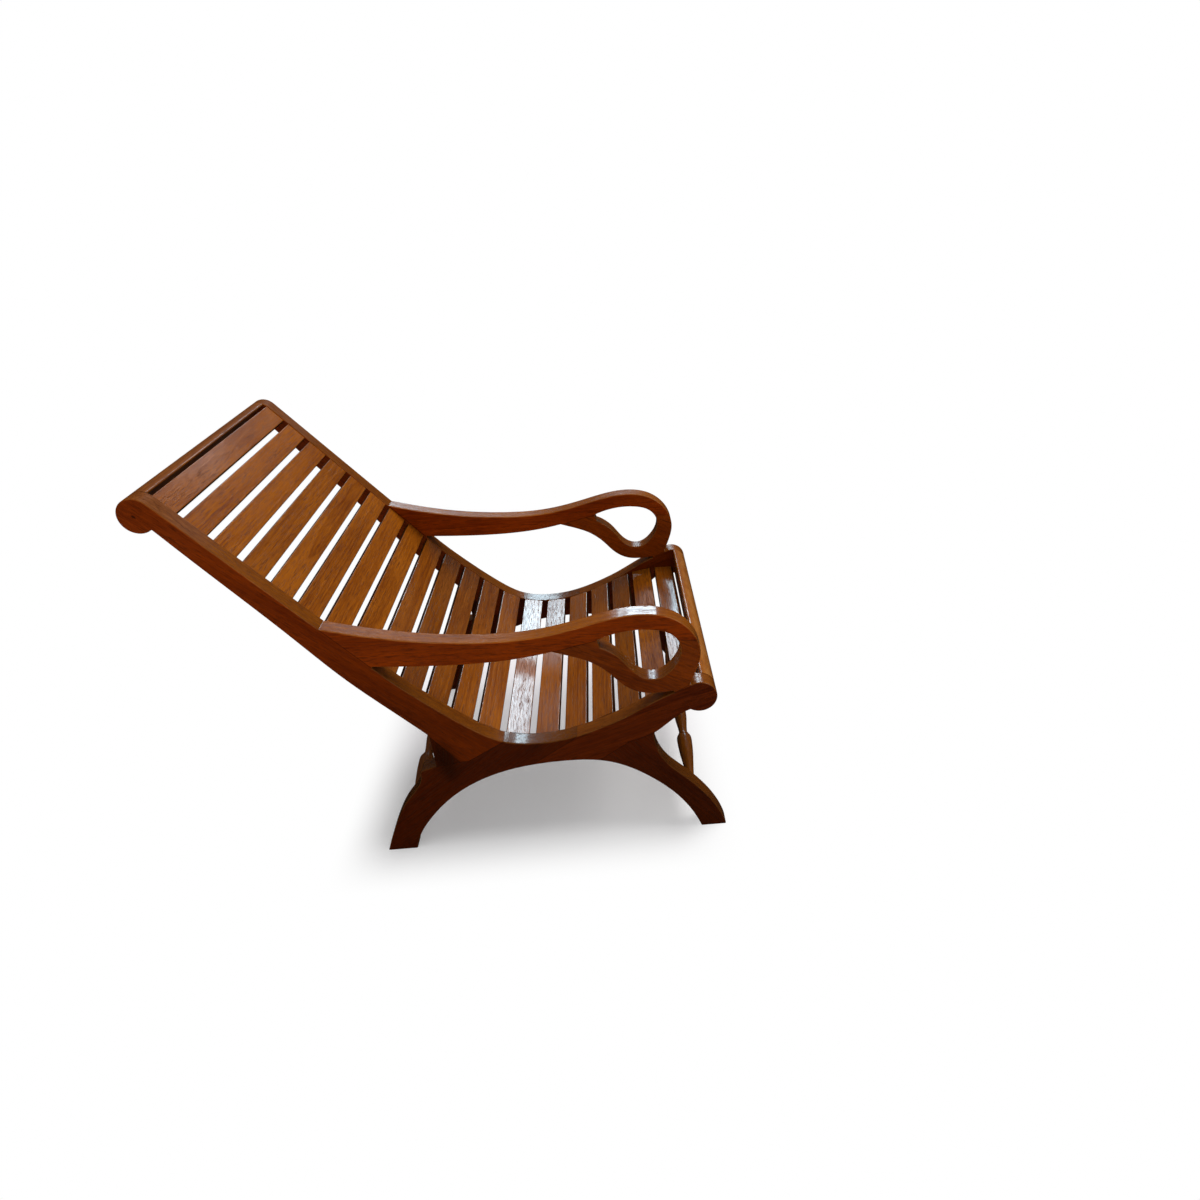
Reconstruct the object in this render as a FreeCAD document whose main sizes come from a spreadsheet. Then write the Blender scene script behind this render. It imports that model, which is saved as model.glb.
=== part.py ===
import FreeCAD, Part
import math
import os
import Sketcher
from FreeCAD import Placement, Rotation, Vector

# Planters chair: two shaped side frames with scrolled ends, joined by a top rail,
# a front rail, two turned stretchers and twenty loose-spaced slats.
# +X is the front of the chair, +Z is up, and Y runs across it. Right and left are the
# sitter's. The origin is on the floor, under the middle of the whole chair.

doc = FreeCAD.newDocument("PlantersChair")

# Driving sizes in millimetres and degrees: name, value, meaning
sizes = [
    ("chair_width", 640, "outer face to outer face of the side frames"),
    ("chair_depth", 1042, "back of the top scroll to the front toe"),
    ("chair_height", 871, "floor to the top of the scroll"),
    ("board", 36, "thickness of the side frame boards"),
    ("edge_round", 2.5, "rounding of the side frame edges"),
    ("notch_round", 2, "easing of the side frame's sharp notches"),
    ("shoulder_round", 10, "top of the rear leg's toe side"),
    ("knee_round", 6, "hollow above the rear leg's shoulder"),
    ("crotch_round", 7, "hollow between the seat rail and the front leg"),
    ("top_scroll_radius", 33, "round end of the back rail"),
    ("front_scroll_radius", 35, "round end of the seat rail"),
    ("top_notch_angle", -56, "where the back rail runs into its scroll"),
    ("arm_meets_scroll_angle", 125, "where the arm loop lands on the front scroll"),
    ("front_notch_angle", -124, "where the seat rail runs into its scroll"),
    ("arm_root", 121, "length of the arm's butt on the back rail"),
    ("straight_past_arm", 22, "straight stretch of the back rail below the arm"),
    ("slat_count", 20, "slats from the head to the front edge"),
    ("slat_width", 49, "one slat"),
    ("slat_thickness", 14, "one slat"),
    ("slat_recess", 2, "slat face below the rails' top edge"),
    ("slat_round", 2, "rounding along a slat"),
    ("front_slat_round", 8, "rounding of the last slat's front edge"),
    ("slat_tenon_length", 10, "stub tenon at each end of a slat"),
    ("slat_tenon_thickness", 8, "stub tenon at each end of a slat"),
    ("slat_shoulder", 6, "slat edge to tenon edge"),
    ("top_gap", 7, "top rail to the first slat"),
    ("top_rail_inset", 12, "flat of the top rail beyond the scroll's centre"),
    ("front_rail_inset", 5, "flat of the front rail beyond the scroll's centre"),
    ("rail_round", 3, "rounding of the rails' inner corners"),
    ("rail_tenon_length", 20, "top and front rail tenons"),
    ("rail_tenon_thickness", 7, "top and front rail tenons"),
    ("rail_tenon_height", 26, "top and front rail tenons"),
    ("rail_shoulder", 3.5, "flat of a rail to its tenon"),
    ("stretcher_radius", 17, "thickest turning of a stretcher"),
    ("stretcher_tenon_radius", 5.5, "round tenon of a stretcher"),
    ("stretcher_tenon_length", 20, "round tenon of a stretcher"),
    ("dowel_radius", 4, "dowels across the frame joints"),
    ("dowel_reach", 12, "dowel length in each of the two pieces"),
    ("glue_gap", 1, "space past the end of a tenon or dowel"),
    ("overrun", 5, "how far a cut runs past the wood"),
]

sheet = doc.addObject("Spreadsheet::Sheet", "Sizes")
for row, (alias, value, meaning) in enumerate(sizes, start=1):
    sheet.set(f"A{row}", alias)
    sheet.set(f"B{row}", str(value))
    sheet.set(f"C{row}", meaning)
    sheet.setAlias(f"B{row}", alias)
doc.recompute()


def size(alias):
    return float(sheet.get(alias))


width = size("chair_width")
depth = size("chair_depth")
height = size("chair_height")
board = size("board")
inner_width = width - 2 * board
outer_face = Vector(0, -width / 2, 0)
inner_face = Vector(0, -inner_width / 2, 0)
middle_of_board = (outer_face + inner_face) * 0.5
inner_width_cell = "(Sizes.chair_width - 2 * Sizes.board)"

nodes = []


def bind(thing, **cells):
    for prop, cell in cells.items():
        thing.setExpression(prop, cell)


def keep(thing, label):
    thing.Label = label
    nodes.append(thing)
    return thing


# Outlines of the right side frame, as shares of the chair's depth and height

arm_root_share = (0.274, 0.667)
arm_top_shares = [
    (0.346, 0.641), (0.435, 0.616), (0.544, 0.598), (0.652, 0.596), (0.742, 0.613),
    (0.850, 0.633), (0.910, 0.617), (0.950, 0.571), (0.961, 0.521), (0.953, 0.480),
]
dip_shares = [(0.432, 0.448), (0.506, 0.366), (0.566, 0.319), (0.623, 0.306), (0.682, 0.310)]
rail_front_shares = [(0.767, 0.339), (0.822, 0.368), (0.870, 0.399), (0.908, 0.419)]
slat_front_shares = [(0.739, 0.328), (0.795, 0.355), (0.844, 0.378), (0.900, 0.389), (0.957, 0.387)]
arm_under_shares = [(0.425, 0.551), (0.533, 0.544), (0.613, 0.546)]
arm_fork_share = (0.686, 0.557)
neck_shares = [(0.712, 0.545), (0.755, 0.521), (0.787, 0.488), (0.816, 0.448), (0.846, 0.427), (0.875, 0.422)]
tear_top_share = (0.772, 0.577)
tear_shares = [
    (0.801, 0.588), (0.841, 0.594), (0.874, 0.591), (0.906, 0.577), (0.923, 0.550), (0.922, 0.514),
    (0.904, 0.481), (0.882, 0.463), (0.860, 0.463), (0.841, 0.477), (0.816, 0.517), (0.793, 0.545),
]
tear_foot_share = (0.776, 0.557)
seat_under_shares = [(0.916, 0.355), (0.890, 0.331)]
crotch_share = (0.863, 0.307)
leg_front_shares = [(0.867, 0.263), (0.882, 0.218), (0.920, 0.164), (0.953, 0.116), (0.980, 0.064)]
front_toe_share = (1.000, 0.000)
front_heel_share = (0.948, 0.000)
arch_shares = [
    (0.935, 0.040), (0.906, 0.100), (0.848, 0.174), (0.770, 0.231), (0.672, 0.245),
    (0.547, 0.225), (0.457, 0.175), (0.381, 0.091), (0.350, 0.036),
]
rear_heel_share = (0.339, 0.000)
rear_toe_share = (0.276, 0.000)
rear_leg_shares = [(0.294, 0.051), (0.318, 0.109), (0.346, 0.161), (0.370, 0.194), (0.382, 0.216)]
shoulder_share = (0.387, 0.248)
knee_share = (0.422, 0.261)
knee_top_share = (0.423, 0.354)
back_under_shares = [(0.362, 0.437), (0.294, 0.532), (0.220, 0.654), (0.098, 0.851)]

# Where the boards meet: splice lines between them
back_splice_shares = [(0.566, 0.319), (0.490, 0.270), (0.472, 0.269)]
seat_splice_shares = [(0.713, 0.319), (0.699, 0.305), (0.596, 0.229)]
leg_splice_shares = [(0.812, 0.287), (0.750, 0.239)]
loop_splice_shares = [(0.926, 0.559), (0.961, 0.555)]

front_stretcher_share = (0.933, 0.119)
rear_stretcher_share = (0.350, 0.122)
front_centre_share = (0.956, 0.4005)

# Slit where the loop lands on the rail, as a share of the notch easing
slit_share = 2.2

# Places of the dowels, as shares of the splice that they cross
middle_shares = (0.50,)
thirds_shares = (0.33, 0.67)
back_splice_dowel_shares = (0.30, 0.70)
seat_splice_dowel_shares = (0.16, 0.44)
leg_splice_dowel_shares = (0.42,)

# Corners of the boards' regions that lie in open air, where nothing is cut
past_head_shares = [(0.128, 0.980), (0.050, 1.040), (-0.030, 1.040), (-0.030, 0.830), (0.375, 0.344)]
behind_knee_share = (0.395, 0.320)
behind_leg_shares = [(0.375, 0.284), (0.237, 0.118), (0.237, -0.020), (0.375, -0.020)]
under_arch_shares = [(0.583, 0.190), (0.742, 0.190)]
over_dip_shares = [(0.717, 0.365), (0.573, 0.365)]
past_toe_shares = [(0.870, -0.020), (1.050, -0.020), (1.050, 0.118)]
past_front_shares = [(0.910, 0.315), (1.020, 0.320), (1.020, 0.456), (0.956, 0.456)]
past_loop_share = (1.020, 0.555)
over_arm_shares = [(1.020, 0.735), (0.316, 0.735)]
under_arm_region_shares = [(0.425, 0.521), (0.672, 0.527)]
in_tear_share = (0.831, 0.557)
under_neck_share = (0.752, 0.474)
over_neck_share = (0.831, 0.409)


def at(share):
    x_share, z_share = share
    return Vector(depth * x_share - depth / 2, 0, height * z_share)


def all_at(shares):
    return [at(share) for share in shares]


def line(start, end):
    return Part.LineSegment(start, end).toShape()


def arc(start, middle, end):
    return Part.Arc(start, middle, end).toShape()


def spline(points, start_direction=None):
    curve = Part.BSplineCurve()
    if start_direction is None:
        curve.interpolate(points)
    else:
        flags = [True] + [False] * (len(points) - 1)
        curve.interpolate(Points=points, Tangents=[start_direction] * len(points), TangentFlags=flags)
    return curve.toShape()


def turned(direction, degrees):
    return Rotation(Vector(0, -1, 0), degrees).multVec(direction)


def on_scroll(centre, radius, degrees):
    return centre + turned(Vector(radius, 0, 0), degrees)


# Fixed points of the side frame
top_radius = size("top_scroll_radius")
front_radius = size("front_scroll_radius")
top_centre = Vector(-depth / 2 + top_radius, 0, height - top_radius)
front_centre = at(front_centre_share)
arm_root_top = at(arm_root_share)

# The back rail's top edge runs from the arm's root to touch the top scroll
to_scroll = top_centre - arm_root_top
lean = math.degrees(math.asin(top_radius / to_scroll.Length))
up_back = turned(to_scroll.normalize(), -lean)
tangent_length = math.sqrt((top_centre - arm_root_top).Length ** 2 - top_radius ** 2)
scroll_touch = arm_root_top + up_back * tangent_length
down_back = up_back * -1
arm_root_bottom = arm_root_top + down_back * size("arm_root")
straight_end = arm_root_bottom + down_back * size("straight_past_arm")

top_notch = on_scroll(top_centre, top_radius, size("top_notch_angle"))
top_scroll_back = top_centre - Vector(top_radius, 0, 0)
loop_meets_scroll = on_scroll(front_centre, front_radius, size("arm_meets_scroll_angle"))
front_notch = on_scroll(front_centre, front_radius, size("front_notch_angle"))
front_scroll_nose = front_centre + Vector(front_radius, 0, 0)

shoulder = at(shoulder_share)
knee = at(knee_share)
crotch = at(crotch_share)
front_toe = at(front_toe_share)
front_heel = at(front_heel_share)
rear_heel = at(rear_heel_share)
rear_toe = at(rear_toe_share)
knee_top = at(knee_top_share)
arm_fork = at(arm_fork_share)
rail_landing = at(rail_front_shares[-1])
loop_landing = rail_landing + Vector(0, 0, slit_share * size("notch_round"))
tear_top = at(tear_top_share)
tear_foot = at(tear_foot_share)

outer_edges = [
    arc(top_notch, top_scroll_back, scroll_touch),
    line(scroll_touch, arm_root_top),
    spline([arm_root_top] + all_at(arm_top_shares) + [loop_meets_scroll]),
    arc(loop_meets_scroll, front_scroll_nose, front_notch),
    spline([front_notch] + all_at(seat_under_shares) + [crotch]),
    spline([crotch] + all_at(leg_front_shares) + [front_toe]),
    line(front_toe, front_heel),
    spline([front_heel] + all_at(arch_shares) + [rear_heel]),
    line(rear_heel, rear_toe),
    spline([rear_toe] + all_at(rear_leg_shares) + [shoulder]),
    line(shoulder, knee),
    line(knee, knee_top),
    spline([knee_top] + all_at(back_under_shares) + [top_notch]),
]
rail_top_points = [straight_end] + all_at(dip_shares + rail_front_shares)
under_arm_edges = [
    line(arm_root_bottom, straight_end),
    spline(rail_top_points, start_direction=down_back),
    line(rail_landing, loop_landing),
    spline([loop_landing] + all_at(neck_shares[::-1]) + [arm_fork]),
    spline([arm_fork] + all_at(arm_under_shares[::-1]) + [arm_root_bottom]),
]
tear_edges = [
    spline([tear_top] + all_at(tear_shares) + [tear_foot]),
    line(tear_foot, tear_top),
]

side_outline = doc.addObject("Part::Feature", "SideOutline")
side_wires = [Part.Wire(outer_edges), Part.Wire(under_arm_edges), Part.Wire(tear_edges)]
side_outline.Shape = Part.makeFace(side_wires, "Part::FaceMakerBullseye")
bind(side_outline, **{"Placement.Base.y": "-Sizes.chair_width / 2"})

side_blank = doc.addObject("Part::Extrusion", "SideBlank")
side_blank.Base = side_outline
side_blank.DirMode = "Custom"
side_blank.Dir = Vector(0, 1, 0)
side_blank.Solid = True
bind(side_blank, LengthFwd="Sizes.board")
doc.recompute()

# The notches are eased first, so that the edge rounding can run through them
corner_rounds = [
    (shoulder, size("shoulder_round")),
    (knee, size("knee_round")),
    (crotch, size("crotch_round")),
]
for notch in (arm_root_top, loop_meets_scroll, front_notch, top_notch, knee_top, arm_root_bottom,
              rail_landing, loop_landing, arm_fork, tear_top, tear_foot):
    corner_rounds.append((notch, size("notch_round")))

hair = size("edge_round") / 100
corner_edges = []
for number, edge in enumerate(side_blank.Shape.Edges, start=1):
    place = edge.CenterOfMass
    for corner, radius in corner_rounds:
        if Vector(place.x - corner.x, 0, place.z - corner.z).Length < hair:
            corner_edges.append((number, radius, radius))

side_eased = doc.addObject("Part::Fillet", "SideEased")
side_eased.Base = side_blank
side_eased.Edges = corner_edges
doc.recompute()

# The rounding follows every outline edge but those the feet stand on
round_edges = []
for number, edge in enumerate(side_eased.Shape.Edges, start=1):
    box = edge.BoundBox
    if box.YLength < hair < box.ZMax:
        round_edges.append((number, size("edge_round"), size("edge_round")))

side_body = doc.addObject("Part::Fillet", "SideBody")
side_body.Base = side_eased
side_body.Edges = round_edges
doc.recompute()

# Slats lie along a path that follows the rails' top edge, then levels out at the front
flat_of_top_rail = (top_centre - arm_root_top).dot(up_back) + size("top_rail_inset")
slats_start = arm_root_top + up_back * (flat_of_top_rail - size("top_gap"))
slat_path = Part.Wire([
    line(slats_start, straight_end),
    spline([straight_end] + all_at(dip_shares + slat_front_shares), start_direction=down_back),
])
slat_count = int(size("slat_count"))
slat_width = size("slat_width")
slat_gap = (slat_path.Length - slat_count * slat_width) / (slat_count - 1)
slat_depth = size("slat_recess") + size("slat_thickness") / 2
print(f"slat gap {slat_gap:.1f} mm on a path of {slat_path.Length:.0f} mm")


def point_along(distance):
    left = distance
    for stretch in slat_path.OrderedEdges:
        if left <= stretch.Length:
            return stretch.valueAt(stretch.getParameterByLength(left))
        left -= stretch.Length
    return slat_path.OrderedVertexes[-1].Point


def slat_seat(index):
    # Local X runs down the path, Y across the chair and Z up out of the seat
    start = index * (slat_width + slat_gap)
    high = point_along(start)
    low = point_along(start + slat_width)
    along = (low - high).normalize()
    out = Vector(-along.z, 0, along.x)
    return Placement((high + low) * 0.5 - out * slat_depth, Rotation(along, Vector(0, 1, 0), out, "XYZ"))


slat_seats = [slat_seat(index) for index in range(slat_count)]

# Holes in the side frame: slat and rail mortises, stretcher sockets and dowel holes
side_cutters = []
tongue_width_cell = "(Sizes.slat_width - 2 * Sizes.slat_shoulder)"


def mortise(name, seat, thickness_cell, height_cell, length_cell, thick_along_x):
    # A box in the inner face, centred on the seat's X and Z
    box = doc.addObject("Part::Box", name)
    across_cell, upright_cell = height_cell, thickness_cell
    if thick_along_x:
        across_cell, upright_cell = thickness_cell, height_cell
    bind(box, Length=across_cell, Height=upright_cell,
         Width=f"{length_cell} + Sizes.glue_gap + Sizes.overrun")
    doc.recompute()
    near_y = size("overrun") - inner_width / 2 - box.Width.Value
    corner = Vector(-box.Length.Value / 2, near_y, -box.Height.Value / 2)
    box.Placement = seat * Placement(corner, Rotation())
    side_cutters.append(box)


for index, seat in enumerate(slat_seats, start=1):
    mortise(f"SlatMortise{index:02d}", seat, "Sizes.slat_tenon_thickness", tongue_width_cell,
            "Sizes.slat_tenon_length", thick_along_x=False)

# The two rails' own frames: local X points out of the chair, through the scroll's centre
out_of_back = Vector(-up_back.z, 0, up_back.x)
top_rail_seat = Placement(top_centre, Rotation(up_back, Vector(0, 1, 0), out_of_back, "XYZ"))
front_rail_seat = Placement(front_centre, Rotation())
top_tenon_cell = "(Sizes.top_rail_inset + Sizes.rail_shoulder + Sizes.rail_tenon_thickness / 2)"
front_tenon_cell = "(Sizes.front_rail_inset + Sizes.rail_shoulder + Sizes.rail_tenon_thickness / 2)"
tenon_middle = size("rail_shoulder") + size("rail_tenon_thickness") / 2
top_tenon_shift = Placement(Vector(size("top_rail_inset") + tenon_middle, 0, 0), Rotation())
front_tenon_shift = Placement(Vector(size("front_rail_inset") + tenon_middle, 0, 0), Rotation())
for name, seat in (("TopRailMortise", top_rail_seat * top_tenon_shift),
                   ("FrontRailMortise", front_rail_seat * front_tenon_shift)):
    mortise(name, seat, "Sizes.rail_tenon_thickness", "Sizes.rail_tenon_height",
            "Sizes.rail_tenon_length", thick_along_x=True)

front_stretcher_axis = at(front_stretcher_share)
rear_stretcher_axis = at(rear_stretcher_share)


def rod(name, middle, direction, length, **cells):
    # A round bar centred on its middle
    cylinder = doc.addObject("Part::Cylinder", name)
    bind(cylinder, **cells)
    cylinder.Placement = Placement(middle - direction * (length / 2), Rotation(Vector(0, 0, 1), direction))
    return cylinder


socket_depth = size("stretcher_tenon_length") + size("glue_gap")
socket_length = socket_depth + size("overrun")
for name, axis in (("FrontStretcherSocket", front_stretcher_axis),
                   ("RearStretcherSocket", rear_stretcher_axis)):
    middle = axis + inner_face + Vector(0, size("overrun") - socket_length / 2, 0)
    socket = rod(name, middle, Vector(0, 1, 0), socket_length, Radius="Sizes.stretcher_tenon_radius",
                 Height="Sizes.stretcher_tenon_length + Sizes.glue_gap + Sizes.overrun")
    side_cutters.append(socket)

# Dowels cross the splices at right angles: node, the splice's two ends, places along it
back_splice = all_at(back_splice_shares)
seat_splice = all_at(seat_splice_shares)
leg_splice = all_at(leg_splice_shares)
loop_splice = all_at(loop_splice_shares)
dowelled = [
    ("rail_joint_dowels", back_splice[0], back_splice[1], back_splice_dowel_shares),
    ("rail_joint_dowels", seat_splice[1], seat_splice[2], seat_splice_dowel_shares),
    ("leg_joint_dowels", crotch, leg_splice[0], middle_shares),
    ("leg_joint_dowels", leg_splice[0], leg_splice[1], leg_splice_dowel_shares),
    ("leg_joint_dowels", knee_top, back_splice[2], middle_shares),
    ("leg_joint_dowels", knee, back_splice[2], middle_shares),
    ("arm_joint_dowels", arm_root_top, arm_root_bottom, thirds_shares),
    ("arm_joint_dowels", rail_landing, loop_meets_scroll, middle_shares),
    ("arm_joint_dowels", loop_splice[0], loop_splice[1], middle_shares),
    ("arm_joint_dowels", arm_fork, tear_top, middle_shares),
]
dowel_length = 2 * size("dowel_reach")
hole_length = dowel_length + 2 * size("glue_gap")
right_dowels = {}
for node, start, end, place_shares in dowelled:
    across = turned(end - start, 90).normalize()
    for share in place_shares:
        middle = start + (end - start) * share + middle_of_board
        group = right_dowels.setdefault(node, [])
        name = f"{node}_{len(group) + 1}"
        group.append(rod(name, middle, across, dowel_length, Radius="Sizes.dowel_radius",
                         Height="2 * Sizes.dowel_reach"))
        side_cutters.append(rod(f"{name}_hole", middle, across, hole_length, Radius="Sizes.dowel_radius",
                                Height="2 * (Sizes.dowel_reach + Sizes.glue_gap)"))

side_holes = doc.addObject("Part::Compound", "SideHoles")
side_holes.Links = side_cutters
side_cut = doc.addObject("Part::Cut", "SideCut")
side_cut.Base = side_body
side_cut.Tool = side_holes
doc.recompute()

# Each board is the stretch of the side frame between its splices
over_dip = all_at(over_dip_shares)
under_arch = all_at(under_arch_shares)
past_front = all_at(past_front_shares)
past_toe = all_at(past_toe_shares)
past_loop = at(past_loop_share)
over_neck = at(over_neck_share)
loop_joint = [at(in_tear_share)] + loop_splice + [past_loop]
around_nose = past_front[2:] + [loop_meets_scroll, rail_landing, over_neck]
regions = {
    "back_rail": ([knee_top, back_splice[2], back_splice[1], back_splice[0], over_dip[1], arm_root_bottom,
                   arm_root_top] + all_at(past_head_shares)),
    "knee_block": [knee_top, at(behind_knee_share), knee, back_splice[2]],
    "rear_leg": (back_splice + [knee] + all_at(behind_leg_shares) + under_arch[:1]
                 + seat_splice[::-1] + over_dip),
    "seat_rail": (seat_splice + under_arch + leg_splice[::-1] + [crotch] + past_front[:2] + around_nose
                  + over_dip[:1]),
    "front_leg": [crotch] + leg_splice + under_arch[1:] + past_toe + past_front[:1],
    "arm": ([arm_root_top, arm_root_bottom] + all_at(under_arm_region_shares) + [arm_fork, tear_top]
            + loop_joint + all_at(over_arm_shares)),
    "arm_loop": [arm_fork, tear_top] + loop_joint + around_nose + [at(under_neck_share)],
}


def mirrored(source, label):
    twin = doc.addObject("Part::Mirroring", f"{source.Name}_left")
    twin.Source = source
    twin.Base = Vector(0, 0, 0)
    twin.Normal = Vector(0, 1, 0)
    return keep(twin, label)


for board_name, corners in regions.items():
    outline = doc.addObject("Part::Feature", f"{board_name}_region_outline")
    outline.Shape = Part.Face(Part.makePolygon(corners + corners[:1]))
    bind(outline, **{"Placement.Base.y": "-Sizes.chair_width / 2 - Sizes.overrun"})
    region = doc.addObject("Part::Extrusion", f"{board_name}_region")
    region.Base = outline
    region.DirMode = "Custom"
    region.Dir = Vector(0, 1, 0)
    region.Solid = True
    bind(region, LengthFwd="Sizes.board + 2 * Sizes.overrun")
    piece = doc.addObject("Part::Common", board_name)
    piece.Base = side_cut
    piece.Tool = region
    keep(piece, f"{board_name}_right")
    mirrored(piece, f"{board_name}_left")


# Sketches on a body's own XZ plane, for pads that run across the chair

def plane_of(body, role):
    return next(plane for plane in body.Origin.OriginFeatures if plane.Role == role)


def new_sketch(body, name):
    sketch = body.newObject("Sketcher::SketchObject", name)
    sketch.AttachmentSupport = (plane_of(body, "XZ_Plane"), [""])
    sketch.MapMode = "FlatFace"
    return sketch


def centred_rectangle(body, name, width_cell, height_cell, width_guess, height_guess):
    sketch = new_sketch(body, name)
    half_width = width_guess / 2
    half_height = height_guess / 2
    corners = [Vector(-half_width, -half_height), Vector(half_width, -half_height),
               Vector(half_width, half_height), Vector(-half_width, half_height)]
    for i in range(4):
        sketch.addGeometry(Part.LineSegment(corners[i], corners[(i + 1) % 4]), False)
    for i in range(4):
        sketch.addConstraint(Sketcher.Constraint("Coincident", i, 2, (i + 1) % 4, 1))
        sketch.addConstraint(Sketcher.Constraint("Horizontal" if i % 2 == 0 else "Vertical", i))
    sketch.addConstraint(Sketcher.Constraint("Symmetric", 0, 1, 2, 1, -1, 1))
    wide = sketch.addConstraint(Sketcher.Constraint("DistanceX", 0, 1, 0, 2, width_guess))
    high = sketch.addConstraint(Sketcher.Constraint("DistanceY", 1, 1, 1, 2, height_guess))
    bind(sketch, **{f"Constraints[{wide}]": width_cell, f"Constraints[{high}]": height_cell})
    return sketch


def pad_across(body, name, sketch, length_cell):
    pad = body.newObject("PartDesign::Pad", name)
    pad.Profile = sketch
    pad.SideType = "Symmetric"
    bind(pad, Length=length_cell)
    return pad


def rounded(body, name, choose, radius_cell):
    base = body.Tip
    edges = [f"Edge{number}" for number, edge in enumerate(base.Shape.Edges, start=1) if choose(edge)]
    fillet = body.newObject("PartDesign::Fillet", name)
    fillet.Base = (base, edges)
    bind(fillet, Radius=radius_cell)
    doc.recompute()
    return fillet


def runs_across(edge):
    return abs(edge.Length - inner_width) < hair


# Slats, 01 at the head and the last one at the front edge

for index, seat in enumerate(slat_seats, start=1):
    slat = doc.addObject("PartDesign::Body", f"Slat{index:02d}")
    section = centred_rectangle(slat, f"Slat{index:02d}Section", "Sizes.slat_width", "Sizes.slat_thickness",
                                slat_width, size("slat_thickness"))
    pad_across(slat, f"Slat{index:02d}Board", section, inner_width_cell)
    tongue = centred_rectangle(slat, f"Slat{index:02d}Tongue", tongue_width_cell,
                               "Sizes.slat_tenon_thickness", slat_width - 2 * size("slat_shoulder"),
                               size("slat_tenon_thickness"))
    pad_across(slat, f"Slat{index:02d}Tenons", tongue, f"{inner_width_cell} + 2 * Sizes.slat_tenon_length")
    doc.recompute()
    front_edge = slat_width / 2 if index == slat_count else math.inf

    def is_nose(edge):
        middle = edge.CenterOfMass
        return runs_across(edge) and middle.z > 0 and abs(middle.x - front_edge) < hair

    def is_plain(edge):
        return runs_across(edge) and not is_nose(edge)

    if index == slat_count:
        rounded(slat, "FrontSlatNose", is_nose, "Sizes.front_slat_round")
    rounded(slat, f"Slat{index:02d}Edges", is_plain, "Sizes.slat_round")
    slat.Placement = seat
    keep(slat, f"slat_{index:02d}")


# Top and front rails: a round outside on the scrolls' circle and a flat inside

def scroll_rail(label, seat, radius_cell, inset_cell, tenon_cell, radius, inset):
    rail = doc.addObject("PartDesign::Body", label)
    section = new_sketch(rail, f"{label}_section")
    half_angle = math.acos(inset / radius)
    circle = Part.Circle(Vector(0, 0, 0), Vector(0, 0, 1), radius)
    section.addGeometry(Part.ArcOfCircle(circle, -half_angle, half_angle), False)
    rise = radius * math.sin(half_angle)
    section.addGeometry(Part.LineSegment(Vector(inset, rise), Vector(inset, -rise)), False)
    section.addConstraint(Sketcher.Constraint("Coincident", 0, 3, -1, 1))
    section.addConstraint(Sketcher.Constraint("Coincident", 0, 2, 1, 1))
    section.addConstraint(Sketcher.Constraint("Coincident", 0, 1, 1, 2))
    section.addConstraint(Sketcher.Constraint("Vertical", 1))
    swing = section.addConstraint(Sketcher.Constraint("Radius", 0, radius))
    flat = section.addConstraint(Sketcher.Constraint("DistanceX", -1, 1, 1, 1, inset))
    bind(section, **{f"Constraints[{swing}]": radius_cell, f"Constraints[{flat}]": inset_cell})
    pad_across(rail, f"{label}_board", section, inner_width_cell)
    tongue = centred_rectangle(rail, f"{label}_tongue", "Sizes.rail_tenon_thickness",
                               "Sizes.rail_tenon_height", size("rail_tenon_thickness"),
                               size("rail_tenon_height"))
    bind(tongue, **{"AttachmentOffset.Base.x": tenon_cell})
    pad_across(rail, f"{label}_tenons", tongue, f"{inner_width_cell} + 2 * Sizes.rail_tenon_length")
    doc.recompute()
    rounded(rail, f"{label}_edges", runs_across, "Sizes.rail_round")
    rail.Placement = seat
    keep(rail, label)


scroll_rail("top_rail", top_rail_seat, "Sizes.top_scroll_radius", "Sizes.top_rail_inset",
            top_tenon_cell, top_radius, size("top_rail_inset"))
scroll_rail("front_rail", front_rail_seat, "Sizes.front_scroll_radius", "Sizes.front_rail_inset",
            front_tenon_cell, front_radius, size("front_rail_inset"))


# Turned stretchers. The profile runs from the middle to one end, as shares of half
# the inner width and of the thickest radius.

bead_share = (0.000, 0.91)
bead_foot_share = (0.020, 0.72)
swell_shares = [(0.036, 0.85), (0.105, 0.91), (0.250, 0.82), (0.350, 0.66), (0.440, 0.56), (0.466, 0.56)]
collar_shares = [(0.472, 0.74), (0.487, 0.74), (0.490, 0.65)]
bulb_shares = [
    (0.497, 0.88), (0.520, 0.99), (0.560, 1.00), (0.640, 0.95), (0.760, 0.80), (0.880, 0.60), (1.000, 0.44),
]


def on_turning(share, side=1):
    y_share, r_share = share
    return Vector(0, side * y_share * inner_width / 2, r_share * size("stretcher_radius"))


def half_turning(side):
    swell = [on_turning(share, side) for share in [bead_foot_share] + swell_shares]
    collar = [on_turning(share, side) for share in collar_shares]
    bulb = [on_turning(share, side) for share in bulb_shares]
    shoulder_y = side * inner_width / 2
    tip_y = side * (inner_width / 2 + size("stretcher_tenon_length"))
    tenon_radius = size("stretcher_tenon_radius")
    tenon = [Vector(0, shoulder_y, tenon_radius), Vector(0, tip_y, tenon_radius), Vector(0, tip_y, 0)]
    run = [swell[-1]] + collar
    edges = [spline(swell)]
    edges += [line(a, b) for a, b in zip(run, run[1:])]
    edges.append(spline([collar[-1]] + bulb))
    run = [bulb[-1]] + tenon + [Vector(0, 0, 0)]
    edges += [line(a, b) for a, b in zip(run, run[1:])]
    return edges


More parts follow.
